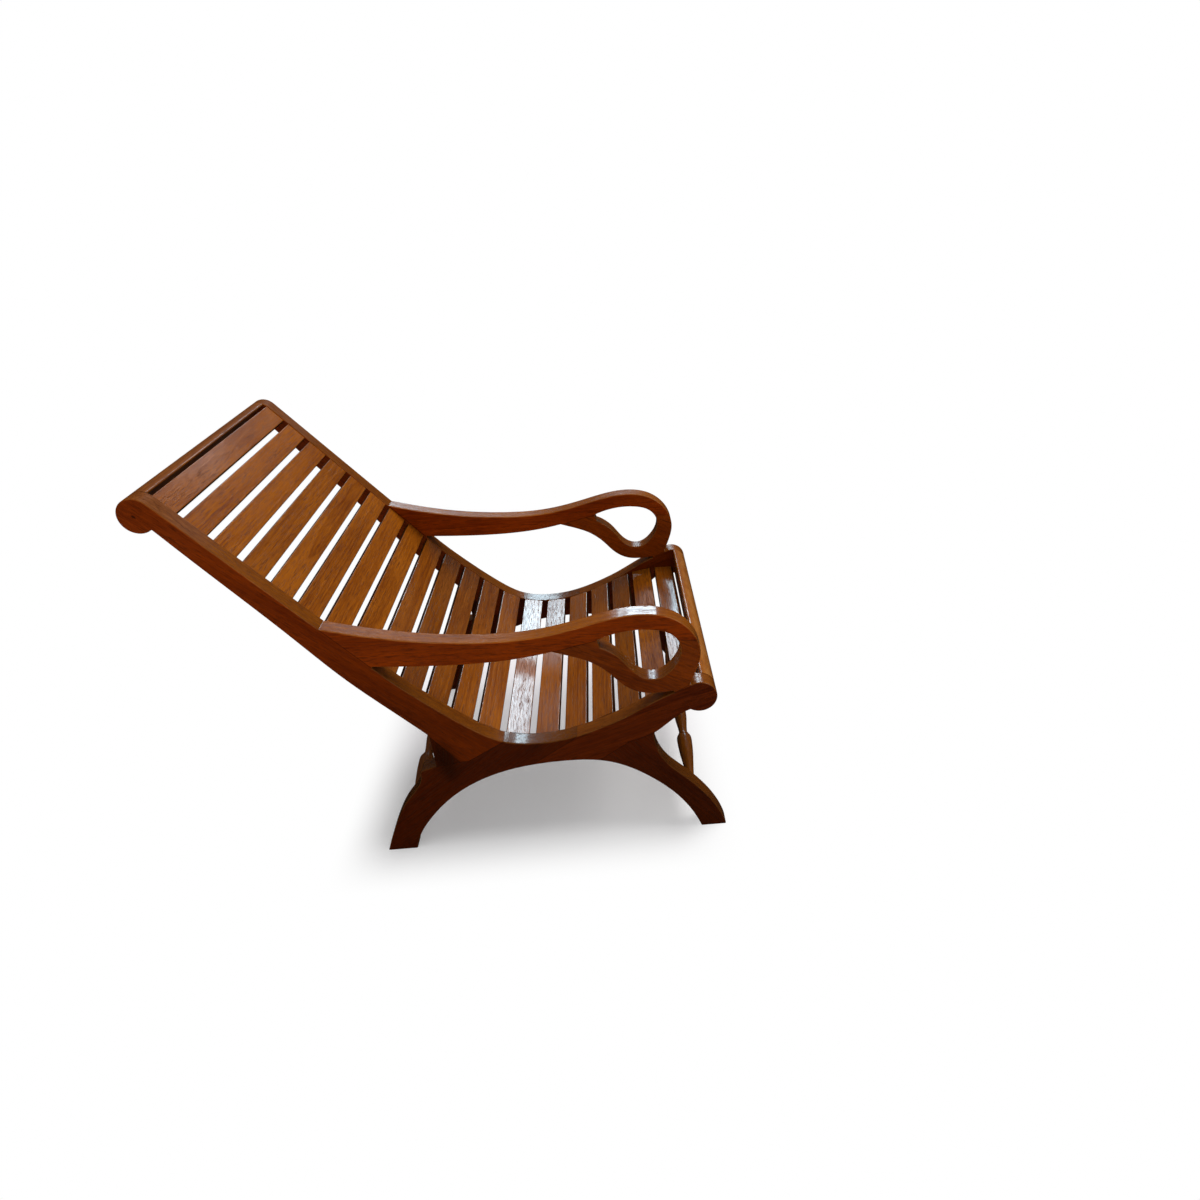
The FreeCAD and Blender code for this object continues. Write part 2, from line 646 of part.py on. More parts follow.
turning_edges = half_turning(1) + half_turning(-1)
bead_feet = [on_turning(bead_foot_share, side) for side in (-1, 1)]
turning_edges.append(arc(bead_feet[0], on_turning(bead_share), bead_feet[1]))
turning = doc.addObject("Part::Feature", "TurningProfile")
turning.Shape = Part.Face(Part.Wire(Part.__sortEdges__(turning_edges)))

for label, axis in (("front_stretcher", front_stretcher_axis), ("rear_stretcher", rear_stretcher_axis)):
    stretcher = doc.addObject("Part::Revolution", label)
    stretcher.Source = turning
    stretcher.Axis = Vector(0, 1, 0)
    stretcher.Base = Vector(0, 0, 0)
    stretcher.Angle = 360
    stretcher.Solid = True
    stretcher.Placement = Placement(axis, Rotation())
    keep(stretcher, label)

# Dowels of both sides, one node for each kind of joint
for label, group in right_dowels.items():
    right = doc.addObject("Part::Compound", f"{label}_on_right")
    right.Links = group
    left = doc.addObject("Part::Mirroring", f"{label}_on_left")
    left.Source = right
    left.Base = Vector(0, 0, 0)
    left.Normal = Vector(0, 1, 0)
    both = doc.addObject("Part::Compound", label)
    both.Links = [right, left]
    keep(both, label)

doc.recompute()

for thing in doc.Objects:
    if "Invalid" in thing.State or "Error" in thing.State:
        raise RuntimeError(f"{thing.Label} did not build: {thing.State}")
for node in nodes:
    if node.Shape.isNull() or not node.Shape.isValid():
        raise RuntimeError(f"{node.Label} has no valid shape")

os.makedirs("parts", exist_ok=True)
whole = FreeCAD.BoundBox()
for node in nodes:
    node.Shape.exportStep(f"parts/{node.Label}.step")
    whole.add(node.Shape.optimalBoundingBox(False))
print(f"{len(nodes)} nodes, {whole.XLength:.1f} x {whole.YLength:.1f} x {whole.ZLength:.1f} mm")
print(f"x from {whole.XMin:.1f} to {whole.XMax:.1f}, z from {whole.ZMin:.1f} to {whole.ZMax:.1f}")
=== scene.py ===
import bmesh
import bpy
import math
import random
from mathutils import Matrix, Vector


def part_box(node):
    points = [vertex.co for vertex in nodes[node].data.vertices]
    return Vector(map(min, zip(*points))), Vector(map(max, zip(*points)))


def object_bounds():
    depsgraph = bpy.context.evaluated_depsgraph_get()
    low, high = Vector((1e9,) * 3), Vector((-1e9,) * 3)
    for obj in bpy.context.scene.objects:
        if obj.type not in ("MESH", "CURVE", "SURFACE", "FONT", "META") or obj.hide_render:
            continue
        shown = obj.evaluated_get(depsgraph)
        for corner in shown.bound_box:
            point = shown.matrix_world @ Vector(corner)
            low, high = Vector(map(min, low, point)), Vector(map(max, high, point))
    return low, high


# Planters chair in oiled and polished teak, dressed over its packed boards.
# Metres, +X is the front of the chair, +Z up, and Y runs across it.

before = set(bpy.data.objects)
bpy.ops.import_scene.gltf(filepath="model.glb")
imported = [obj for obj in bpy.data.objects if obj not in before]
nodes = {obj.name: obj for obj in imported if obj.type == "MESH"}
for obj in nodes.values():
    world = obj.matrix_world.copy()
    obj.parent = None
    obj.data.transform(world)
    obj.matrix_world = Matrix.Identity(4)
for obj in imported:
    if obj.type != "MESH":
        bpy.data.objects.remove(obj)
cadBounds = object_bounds()
print("frame loaded:", len(nodes), "boards and pins")


# Small helpers for node trees

noiseMiddle = 0.5  # a noise texture wanders evenly to both sides of this


def addNode(tree, kind, **settings):
    node = tree.nodes.new("ShaderNode" + kind)
    for key, value in settings.items():
        setattr(node, key, value)
    return node


def feed(tree, socket, value):
    # A socket takes either a link from another socket or a plain value
    if isinstance(value, bpy.types.NodeSocket):
        tree.links.new(value, socket)
    else:
        socket.default_value = value


def maths(tree, operation, first, second=0.0, third=0.0):
    node = addNode(tree, "Math", operation=operation)
    for socket, value in zip(node.inputs, (first, second, third)):
        feed(tree, socket, value)
    return node.outputs[0]


def vectors(tree, operation, first, second=(0.0, 0.0, 0.0)):
    node = addNode(tree, "VectorMath", operation=operation)
    feed(tree, node.inputs[0], first)
    feed(tree, node.inputs[1], second)
    return node.outputs["Value"] if operation in ("LENGTH", "DOT_PRODUCT") else node.outputs["Vector"]


def scaled(tree, vector, factor):
    node = addNode(tree, "VectorMath", operation="SCALE")
    feed(tree, node.inputs[0], vector)
    feed(tree, node.inputs["Scale"], factor)
    return node.outputs["Vector"]


def noise(tree, place, seed, scale=1.0, detail=2.0, rough=0.5, output="Fac"):
    node = addNode(tree, "TexNoise", noise_dimensions="4D")
    feed(tree, node.inputs["Vector"], place)
    feed(tree, node.inputs["W"], seed)
    node.inputs["Scale"].default_value = scale
    node.inputs["Detail"].default_value = detail
    node.inputs["Roughness"].default_value = rough
    return node.outputs[output]


def remap(tree, value, low, high, newLow=0.0, newHigh=1.0):
    node = addNode(tree, "MapRange", interpolation_type="SMOOTHSTEP")
    for name, amount in zip(("Value", "From Min", "From Max", "To Min", "To Max"),
                            (value, low, high, newLow, newHigh)):
        feed(tree, node.inputs[name], amount)
    return node.outputs["Result"]


def mixed(tree, factor, first, second):
    # Sockets 6 and 7 of a Mix node are its two colours, and output 2 is the mixed one
    node = addNode(tree, "Mix", data_type="RGBA")
    feed(tree, node.inputs["Factor"], factor)
    feed(tree, node.inputs[6], first)
    feed(tree, node.inputs[7], second)
    return node.outputs[2]


def newGroup(name, inputs, outputs):
    tree = bpy.data.node_groups.new(name, "ShaderNodeTree")
    for label, kind in inputs:
        tree.interface.new_socket(label, in_out="INPUT", socket_type="NodeSocket" + kind)
    for label, kind in outputs:
        tree.interface.new_socket(label, in_out="OUTPUT", socket_type="NodeSocket" + kind)
    source = tree.nodes.new("NodeGroupInput")
    drain = tree.nodes.new("NodeGroupOutput")
    return tree, source.outputs, drain.inputs


def useGroup(tree, group, **values):
    node = addNode(tree, "Group", node_tree=group)
    for label, value in values.items():
        feed(tree, node.inputs[label], value)
    return node.outputs


# Figure of a sawn board. The log's grain runs along X of the place it is given, and its
# growth rings lie round the heart. Rates are waves per metre along and across the grain,
# scales are waves per year, and a range is from and to, followed by the two values that
# it turns into where they aren't 0 and 1.

figureFacts = {
    "driftRates": (2.2, 11.0, 11.0),
    "driftDetail": 3.0,
    "knotStretch": (0.55, 1.0, 1.0),
    "knotSizeLeast": 0.0001,
    "knotYears": 2.6,
    "knotRange": (0.30, 0.14),
    "unevenScale": 0.8,
    "unevenDetail": 1.0,
    "unevenYears": 2.4,
    "growthPower": 2.5,
    "yearEndRange": (0.93, 1.0, 1.0, 0.0),
    "strengthSeed": 7.0,
    "strengthScale": 0.35,
    "strengthRange": (0.3, 0.7, 0.35, 1.0),
    "fibreRates": (7.0, 240.0, 240.0),
    "fibreDetail": 4.0,
    "fleckRates": (36.0, 380.0, 380.0),
    "fleckDetail": 3.0,
    "fineRough": 0.65,
    "poreRates": (45.0, 620.0, 620.0),
    "poreRough": 0.6,
    "poreRange": (0.50, 0.62),
    "poreSeasonRange": (0.15, 0.75, 1.0, 0.45),
    "cloudRates": (5.0, 16.0, 16.0),
}


def makeFigureGroup():
    facts = figureFacts
    tree, given, out = newGroup(
        "woodFigure",
        [("Place", "Vector"), ("Heart", "Vector"), ("Knot", "Vector"), ("KnotSize", "Float"),
         ("RingWidth", "Float"), ("Wander", "Float"), ("Seed", "Float")],
        [("Rings", "Float"), ("Fibre", "Float"), ("Fleck", "Float"), ("Pores", "Float"), ("Cloud", "Float"),
         ("Knot", "Float")])
    place, seed = given["Place"], given["Seed"]

    # Distance from the heart, with the log's slow wander
    slow = vectors(tree, "MULTIPLY", place, facts["driftRates"])
    drift = noise(tree, slow, seed, detail=facts["driftDetail"], output="Color")
    drift = scaled(tree, vectors(tree, "SUBTRACT", drift, (noiseMiddle,) * 3), given["Wander"])
    bent = vectors(tree, "ADD", vectors(tree, "SUBTRACT", place, given["Heart"]), drift)
    acrossGrain = (0.0, 1.0, 1.0)
    across = vectors(tree, "LENGTH", vectors(tree, "MULTIPLY", bent, acrossGrain))

    # The rings swell round a knot
    fromKnot = vectors(tree, "SUBTRACT", place, given["Knot"])
    knotReach = vectors(tree, "LENGTH", vectors(tree, "MULTIPLY", fromKnot, facts["knotStretch"]))
    knotSize = maths(tree, "MAXIMUM", given["KnotSize"], facts["knotSizeLeast"])
    knotShare = maths(tree, "DIVIDE", knotReach, knotSize)
    knotBell = maths(tree, "EXPONENT", maths(tree, "MULTIPLY", maths(tree, "POWER", knotShare, 2.0), -1.0))
    years = maths(tree, "DIVIDE", across, given["RingWidth"])
    years = maths(tree, "ADD", years, maths(tree, "MULTIPLY", knotBell, facts["knotYears"]))

    # Each year's ring has its own width and strength, and darkens until it ends sharply
    yearPlace = addNode(tree, "CombineXYZ")
    tree.links.new(years, yearPlace.inputs[0])
    uneven = noise(tree, yearPlace.outputs[0], seed, scale=facts["unevenScale"],
                   detail=facts["unevenDetail"])
    years = maths(tree, "ADD", years, maths(tree, "MULTIPLY", uneven, facts["unevenYears"]))
    season = maths(tree, "FRACT", years)
    growth = maths(tree, "POWER", season, facts["growthPower"])
    growth = maths(tree, "MULTIPLY", growth, remap(tree, season, *facts["yearEndRange"]))
    strength = noise(tree, yearPlace.outputs[0], maths(tree, "ADD", seed, facts["strengthSeed"]),
                     scale=facts["strengthScale"])
    rings = maths(tree, "MULTIPLY", growth, remap(tree, strength, *facts["strengthRange"]))

    # Fine figure: fibres, flecks, open pores and slow clouds of tone
    fibre = noise(tree, vectors(tree, "MULTIPLY", place, facts["fibreRates"]), seed,
                  detail=facts["fibreDetail"], rough=facts["fineRough"])
    fleck = noise(tree, vectors(tree, "MULTIPLY", place, facts["fleckRates"]), seed,
                  detail=facts["fleckDetail"], rough=facts["fineRough"])
    pores = noise(tree, vectors(tree, "MULTIPLY", place, facts["poreRates"]), seed, rough=facts["poreRough"])
    pores = maths(tree, "MULTIPLY", remap(tree, pores, *facts["poreRange"]),
                  remap(tree, season, *facts["poreSeasonRange"]))
    cloud = noise(tree, vectors(tree, "MULTIPLY", place, facts["cloudRates"]), seed)
    tree.links.new(rings, out["Rings"])
    tree.links.new(fibre, out["Fibre"])
    tree.links.new(fleck, out["Fleck"])
    tree.links.new(pores, out["Pores"])
    tree.links.new(cloud, out["Cloud"])
    tree.links.new(remap(tree, knotShare, *facts["knotRange"]), out["Knot"])
    return tree


# Rubbed arrises, lighter where the surface turns away from the axis of the board's flat faces: partly wear,
# and partly a painted highlight along the edges

arrisFacts = {
    "turnRange": (0.25, 0.85),
    "patchRates": (22.0, 60.0, 60.0),
    "patchSeed": 3.0,
    "patchDetail": 3.0,
    "patchRange": (0.35, 0.6, 0.25, 1.0),
}


def makeArrisGroup():
    facts = arrisFacts
    tree, given, out = newGroup(
        "wornAndLitArris", [("Axis", "Vector"), ("Place", "Vector")], [("Mask", "Float")])
    coords = addNode(tree, "TexCoord")
    lean = vectors(tree, "DOT_PRODUCT", coords.outputs["Normal"], given["Axis"])
    square = maths(tree, "POWER", lean, 2.0)
    # Four times the square times its rest is 1 half way round the arris and 0 at both its ends
    rest = maths(tree, "SUBTRACT", 1.0, square)
    turn = maths(tree, "MULTIPLY", maths(tree, "MULTIPLY", square, 4.0), rest)
    patchPlace = vectors(tree, "MULTIPLY", given["Place"], facts["patchRates"])
    patch = noise(tree, patchPlace, facts["patchSeed"], detail=facts["patchDetail"])
    shown = remap(tree, patch, *facts["patchRange"])
    tree.links.new(maths(tree, "MULTIPLY", remap(tree, turn, *facts["turnRange"]), shown), out["Mask"])
    return tree


# A soft stroke from Start to End in the plane of the side frame: a glue line where it is
# thin, a darker place or a dull place where it is wide

def makeStrokeGroup():
    tree, given, out = newGroup(
        "softStroke", [("Place", "Vector"), ("Start", "Vector"), ("End", "Vector"), ("Width", "Float")],
        [("Mask", "Float")])
    flat = (1.0, 0.0, 1.0)
    away = vectors(tree, "MULTIPLY", vectors(tree, "SUBTRACT", given["Place"], given["Start"]), flat)
    run = vectors(tree, "MULTIPLY", vectors(tree, "SUBTRACT", given["End"], given["Start"]), flat)
    runSquare = vectors(tree, "DOT_PRODUCT", run, run)
    share = maths(tree, "DIVIDE", vectors(tree, "DOT_PRODUCT", away, run), runSquare)
    held = addNode(tree, "Clamp")
    tree.links.new(share, held.inputs["Value"])
    gap = vectors(tree, "LENGTH", vectors(tree, "SUBTRACT", away, scaled(tree, run, held.outputs[0])))
    tree.links.new(remap(tree, gap, given["Width"], 0.0), out["Mask"])
    return tree


figureGroup = makeFigureGroup()
arrisGroup = makeArrisGroup()
strokeGroup = makeStrokeGroup()
print("shared wood groups built")


# Teak finish. Each board takes its own cut of the log and its own tone. A lean is how much
# of the surface's normal lies along the axis of the flat faces: 1 on a face, 0 on an edge.

teak = {
    "pale": (0.365, 0.106, 0.0070),
    "deep": (0.160, 0.034, 0.0018),
    # Deeper, redder copies of the two colours above, painted shade for the faces turned to the chair's right
    "shadedFacePale": (0.365, 0.052, 0.0012),
    "shadedFaceDeep": (0.150, 0.0165, 0.0004),
    "pore": (0.045, 0.009, 0.001),
    # Near black, for the glue lines and for the painted shade on the slats' edges
    "glueAndEdgeShade": (0.012, 0.003, 0.001),
    # Dark brown of the darker places: painted shade low on the frame, and the knee's dark patch
    "darkening": (0.034, 0.007, 0.0006),
    # Lighter colour of rubbed arrises, partly wear and partly a painted highlight
    "wornSheen": (0.480, 0.200, 0.045),
    "ringShare": 0.45,
    "streakGain": {"Fibre": 1.5, "Fleck": 1.1, "Cloud": 1.1},
    "deepShare": 0.30,
    "poreShare": 0.55,
    "faceLean": (0.35, 0.95),
    "edgeLean": (0.97, 0.78),
    "glueWidth": 0.0011,
    "glueFaceShare": 0.60,
    "glueEdgeShare": 0.20,
    "spotRun": 0.001,
    "specular": 0.16,
    "fibreRoughRange": (0.3, 0.7, 0.17, 0.32),
    "poreRougher": 0.12,
    "dullRougher": 0.40,
    "fibreHeight": 0.6,
    "poreDepth": 0.9,
    "bump": 0.00012,
    "coatRange": (0.36, 0.70, 1.0, 0.35),
}

# What holds for a board where its own facts don't say. The knot is a metre off, where it
# doesn't show.
plainCut = {
    "shadedFaceTone": 1.0,
    "faceShare": 0.0,
    "gold": 1.0,
    "contrast": 1.0,
    "wearAndSheen": 0.0,
    "edgeShade": 0.0,
    "polish": 1.0,
    "rougher": 0.0,
    "shine": 1.0,
    "softness": 0.12,
    "knot": (0.0, 0.0, 1.0),
    "knotSize": 0.001,
    "knotDark": 0.0,
}


def shaded(colour, tone=1.0, gold=1.0):
    # Tone lightens or darkens a colour, and gold turns it from red towards yellow
    red, green, blue = (channel * tone for channel in colour)
    return (red, green * gold, blue, 1.0)


def turnedTo(grain, outward):
    # Rows of the turn that lays the grain along X and the outward side along Z
    along = Vector(grain).normalized()
    out = Vector(outward)
    out = (out - along * out.dot(along)).normalized()
    return Matrix((along, out.cross(along), out))


def strokeMask(tree, coords, start, end, width):
    place = coords.outputs["Object"]
    return useGroup(tree, strokeGroup, Place=place, Start=start, End=end, Width=width)["Mask"]


def figureColour(tree, figure, shadedFaceMask, cut):
    tone, shadedFaceTone, gold = cut["tone"], cut["shadedFaceTone"], cut["gold"]
    # Faces turned to the chair's right take the painted shade colours, with each board's own shade tone
    pale = mixed(tree, shadedFaceMask, shaded(teak["pale"], tone), shaded(teak["shadedFacePale"], shadedFaceTone, gold))
    deep = mixed(tree, shadedFaceMask, shaded(teak["deep"], tone), shaded(teak["shadedFaceDeep"], shadedFaceTone, gold))
    pore = shaded(teak["pore"], tone)
    streak = maths(tree, "MULTIPLY", figure["Rings"], cut["contrast"] * teak["ringShare"])
    for label, gain in teak["streakGain"].items():
        offset = maths(tree, "SUBTRACT", figure[label], noiseMiddle)
        streak = maths(tree, "MULTIPLY_ADD", offset, cut["contrast"] * gain, streak)
    colour = mixed(tree, maths(tree, "ADD", streak, teak["deepShare"]), pale, deep)
    colour = mixed(tree, maths(tree, "MULTIPLY", figure["Pores"], teak["poreShare"]), colour, pore)
    return mixed(tree, maths(tree, "MULTIPLY", figure["Knot"], cut["knotDark"]), colour, pore)


def markedColour(tree, coords, colour, faceMask, seams, darkenings):
    # Glue lines show most on the faces, and the darker places, painted shade low on the frame and a dark
    # patch at the knee, lie only there
    for start, end in seams:
        shown = maths(tree, "MULTIPLY_ADD", faceMask, teak["glueFaceShare"], teak["glueEdgeShare"])
        line = maths(tree, "MULTIPLY", strokeMask(tree, coords, start, end, teak["glueWidth"]), shown)
        colour = mixed(tree, line, colour, shaded(teak["glueAndEdgeShade"]))
    for start, end, reach, strength in darkenings:
        shown = maths(tree, "MULTIPLY", faceMask, strength)
        spot = maths(tree, "MULTIPLY", strokeMask(tree, coords, start, end, reach), shown)
        colour = mixed(tree, spot, colour, shaded(teak["darkening"]))
    return colour


def finishSurface(tree, shader, figure, shadeOrDull, cut):
    # Roughness, relief and the coat of polish, which is missing in the pores, on dull places and on the
    # slats' shaded edges
    rough = maths(tree, "ADD", remap(tree, figure["Fibre"], *teak["fibreRoughRange"]),
                  maths(tree, "MULTIPLY", figure["Pores"], teak["poreRougher"]))
    rough = maths(tree, "ADD", rough, cut["rougher"])
    rough = maths(tree, "MULTIPLY_ADD", shadeOrDull, teak["dullRougher"], rough)
    tree.links.new(rough, shader.inputs["Roughness"])
    height = maths(tree, "SUBTRACT", maths(tree, "MULTIPLY", figure["Fibre"], teak["fibreHeight"]),
                   maths(tree, "MULTIPLY", figure["Pores"], teak["poreDepth"]))
    bump = addNode(tree, "Bump")
    bump.inputs["Distance"].default_value = teak["bump"]
    bump.inputs["Strength"].default_value = 1.0
    tree.links.new(height, bump.inputs["Height"])
    tree.links.new(bump.outputs[0], shader.inputs["Normal"])
    coat = maths(tree, "MULTIPLY", remap(tree, figure["Fleck"], *teak["coatRange"]), cut["polish"])
    coat = maths(tree, "MULTIPLY", coat, maths(tree, "SUBTRACT", 1.0, figure["Pores"]))
    coat = maths(tree, "MULTIPLY", coat, maths(tree, "SUBTRACT", 1.0, shadeOrDull))
    tree.links.new(coat, shader.inputs["Coat Weight"])
    shader.inputs["Coat Roughness"].default_value = cut["softness"]
    shader.inputs["Specular IOR Level"].default_value = teak["specular"] * cut["shine"]


def teakMaterial(name, centre, grain, outward, facts, faceAxis=(0.0, 1.0, 0.0), seams=(), darkenings=()):
    cut = plainCut | facts
    material = bpy.data.materials.new(name)
    material.use_nodes = True
    tree = material.node_tree
    shader = tree.nodes["Principled BSDF"]
    coords = addNode(tree, "TexCoord")
    turn = turnedTo(grain, outward)
    mapping = addNode(tree, "Mapping")
    tree.links.new(coords.outputs["Object"], mapping.inputs["Vector"])
    mapping.inputs["Rotation"].default_value = turn.to_euler()
    mapping.inputs["Location"].default_value = -(turn @ Vector(centre))
    place = mapping.outputs[0]
    figure = useGroup(tree, figureGroup, Place=place, Heart=cut["heart"], Knot=cut["knot"],
                      KnotSize=cut["knotSize"], RingWidth=cut["ringWidth"],
                      Wander=cut["wander"], Seed=cut["seed"])
    lean = vectors(tree, "DOT_PRODUCT", coords.outputs["Normal"], faceAxis)
    bothWays = maths(tree, "ABSOLUTE", lean)
    faceMask = remap(tree, bothWays, *teak["faceLean"], 0.0, cut["faceShare"])
    # Painted shade: the faces turned to the chair's right, away from the light, take deeper and redder
    # copies of the teak colours
    shadedFaceMask = remap(tree, maths(tree, "MULTIPLY", lean, -1.0), *teak["faceLean"], 0.0, cut["faceShare"])
    colour = figureColour(tree, figure, shadedFaceMask, cut)
    # Painted highlight along the arrises, together with their wear
    wornSheen = useGroup(tree, arrisGroup, Axis=faceAxis, Place=place)["Mask"]
    wornSheen = maths(tree, "MULTIPLY", wornSheen, cut["wearAndSheen"])
    colour = mixed(tree, wornSheen, colour, shaded(teak["wornSheen"], cut["tone"]))
    shadeOrDull = 0.0
    # Painted shade: the slats' long edges go dark towards the gaps, and lose their polish there
    if cut["edgeShade"] > 0:
        shadeOrDull = remap(tree, bothWays, *teak["edgeLean"], 0.0, cut["edgeShade"])
        colour = mixed(tree, shadeOrDull, colour, shaded(teak["glueAndEdgeShade"]))
    if "dullPlace" in cut:
        spotEnd = cut["dullPlace"] + Vector((teak["spotRun"], 0.0, 0.0))
        shadeOrDull = strokeMask(tree, coords, cut["dullPlace"], spotEnd, cut["dullReach"])
    colour = markedColour(tree, coords, colour, faceMask, seams, darkenings)
    tree.links.new(colour, shader.inputs["Base Color"])
    finishSurface(tree, shader, figure, shadeOrDull, cut)
    return material


def middleOf(node):
    low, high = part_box(node)
    return (low + high) * 0.5


def dress(node, material):
    for slot in nodes[node].material_slots:
        slot.material = material


# Side frames: the chair's size gives the places where the boards meet

lowCorner, highCorner = Vector(cadBounds[0]), Vector(cadBounds[1])
chairDepth = highCorner.x - lowCorner.x
chairHeight = highCorner.z - lowCorner.z


def atShare(share):
    return Vector((lowCorner.x + chairDepth * share[0], 0.0, lowCorner.z + chairHeight * share[1]))


def runsBetween(shares):
    points = [atShare(share) for share in shares]
    return list(zip(points, points[1:]))


# Glue lines, as shares of the chair's depth and height
glueShares = {
    "back": [(0.566, 0.319), (0.490, 0.270), (0.472, 0.269)],
    "backFoot": [(0.423, 0.354), (0.472, 0.269), (0.422, 0.261)],
    "seat": [(0.713, 0.319), (0.699, 0.305), (0.596, 0.229)],
    "leg": [(0.863, 0.307), (0.812, 0.287), (0.750, 0.239)],
    "loop": [(0.926, 0.559), (0.961, 0.555)],
    "fork": [(0.686, 0.557), (0.772, 0.577)],
    "landing": [(0.908, 0.419), (0.937, 0.437)],
    "arm": [(0.274, 0.667), (0.356, 0.548)],
}

# Darker places, each fading out from a line between two places of the chair. Low on the back rail and at the
# front foot they are painted shade, darker towards the floor; at the knee it is a dark patch.
darkeningFacts = {
    "knee": {"startShares": (0.440, 0.300), "endShares": (0.447, 0.245), "reach": 0.040, "strength": 0.75},
    "lowRail": {"startShares": (0.490, 0.250), "endShares": (0.400, 0.370), "reach": 0.36, "strength": 0.42},
    "lowLeg": {"startShares": (0.930, 0.000), "endShares": (0.870, 0.100), "reach": 0.26, "strength": 0.60},
}


def darkeningRun(label):
    darkening = darkeningFacts[label]
    return atShare(darkening["startShares"]), atShare(darkening["endShares"]), darkening["reach"], darkening["strength"]


# What all the boards of the side frames have in common
sideCut = {"ringWidth": 0.0105, "wander": 0.022, "faceShare": 1.0, "wearAndSheen": 0.45, "contrast": 1.1}
sideSeeds = {"right": 0.0, "left": 40.0, "step": 3.1}

# Each board's grain angle, tones and finish, with the glue lines and darker places that cross it.
# The tones carry painted shade: the boards low on the frame are darker, as less light falls
# there, and the face tone sets the painted shade on the faces turned to the chair's right.
# A knot, dark or only as rings that swell, shows on the right frame alone.
sideBoards = {
    "back_rail": {
        "angle": 134.5, "heart": (0.0, 0.012, 0.085), "tone": 0.70, "shadedFaceTone": 1.25,
        "shine": 0.4, "polish": 0.15, "softness": 0.20,
        "dullShares": (0.042, 0.965), "dullReach": 0.140,
        "knotShares": (0.029, 0.962), "knotSize": 0.010, "knotDark": 0.8,
        "glue": ("back", "backFoot", "arm"), "darkenings": ("knee", "lowRail"),
    },
    "knee_block": {
        "angle": 78.0, "heart": (0.0, 0.030, 0.060), "tone": 0.50, "shadedFaceTone": 0.34,
        "glue": ("backFoot",), "darkenings": ("knee",),
    },
    "rear_leg": {
        "angle": 36.0, "heart": (0.0, -0.010, 0.075), "tone": 0.50, "shadedFaceTone": 0.42,
        "knotShares": (0.630, 0.278), "knotSize": 0.030,
        "glue": ("back", "backFoot", "seat"), "darkenings": ("knee",),
    },
    "seat_rail": {
        "angle": 17.0, "heart": (0.0, 0.030, 0.095), "tone": 0.80, "shadedFaceTone": 0.64,
        "shine": 0.2, "softness": 0.20,
        "glue": ("seat", "leg", "landing"), "darkenings": (),
    },
    "front_leg": {
        "angle": -51.0, "heart": (0.0, -0.020, 0.070), "tone": 0.48, "shadedFaceTone": 0.58,
        "glue": ("leg",), "darkenings": ("lowLeg",),
    },
    "arm": {
        "angle": -2.0, "heart": (0.0, -0.026, 0.090), "tone": 1.00, "shadedFaceTone": 1.35,
        "shine": 0.4, "softness": 0.10,
        "glue": ("arm", "fork", "loop"), "darkenings": (),
    },
    "arm_loop": {
        "angle": -28.0, "heart": (0.0, 0.018, 0.080), "tone": 0.86, "shadedFaceTone": 1.05, "gold": 1.22,
        "shine": 0.5, "softness": 0.20,
        "glue": ("fork", "loop", "landing"), "darkenings": (),
    },
}


def dressSideBoard(board, side, number):
    facts = sideBoards[board]
    name = f"{board}_{side}"
    centre = middleOf(name)
    angle = math.radians(facts["angle"])
    grain = (math.cos(angle), 0.0, math.sin(angle))
    outward = (0.0, -1.0 if side == "right" else 1.0, 0.0)
    cut = sideCut | facts | {"seed": sideSeeds[side] + sideSeeds["step"] * number}
    if "dullShares" in facts:
        cut["dullPlace"] = atShare(facts["dullShares"])
    if "knotShares" in facts and side == "right":
        knot = atShare(facts["knotShares"])
        knot.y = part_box(name)[0].y
        cut["knot"] = turnedTo(grain, outward) @ (knot - centre)
    seams = [run for glue in facts["glue"] for run in runsBetween(glueShares[glue])]
    darkenings = [darkeningRun(label) for label in facts["darkenings"]]
    dress(name, teakMaterial(f"teak_{name}", centre, grain, outward, cut, seams=seams, darkenings=darkenings))


for side in ("right", "left"):
    for number, board in enumerate(sideBoards):
        dressSideBoard(board, side, number)
print("side frames finished")


# Slats: each is its own strip of the log, with its own tone

slatFacts = {
    "count": 20,
    "ringWidth": 0.0062,
    "ringShares": (0.7, 1.2),
    "heartAcross": 0.050,
    "heartDepths": (0.03, 0.10),
    "wander": 0.012,
    "wearAndSheen": 0.30,
    "contrast": 1.15,
    "edgeShade": 0.85,
    "firstSeed": 100.0,
    "seedStep": 2.7,
    "cutSeed": 11,
}
slatToneShares = (1.00, 1.04, 1.02, 0.92, 0.98, 0.98, 1.04, 1.00, 0.94, 0.74,
                  0.84, 0.98, 1.04, 1.00, 1.00, 1.02, 0.98, 0.72, 0.80, 0.86)

# The polish is worn to a satin on the upper slats, and less shows on the front two too
satin = {"polish": 0.10, "shine": 0.25}
satinSlats = range(1, 9)
handledSlats = {number: satin for number in satinSlats}
handledSlats |= {19: {"polish": 0.02, "shine": 0.20}, 20: {"polish": 0.5}}

slatCuts = random.Random(slatFacts["cutSeed"])
slatNames = [f"slat_{number:02d}" for number in range(1, slatFacts["count"] + 1)]
slatMiddles = [middleOf(name) for name in slatNames]


def slatOutward(number):
    # Square to the sweep through the neighbours' middles, on the sitter's side
    before = slatMiddles[max(number - 1, 0)]
    after = slatMiddles[min(number + 1, len(slatNames) - 1)]
    along = (after - before).normalized()
    outward = Vector((-along.z, 0.0, along.x))
    return -outward if outward.z < 0 else outward


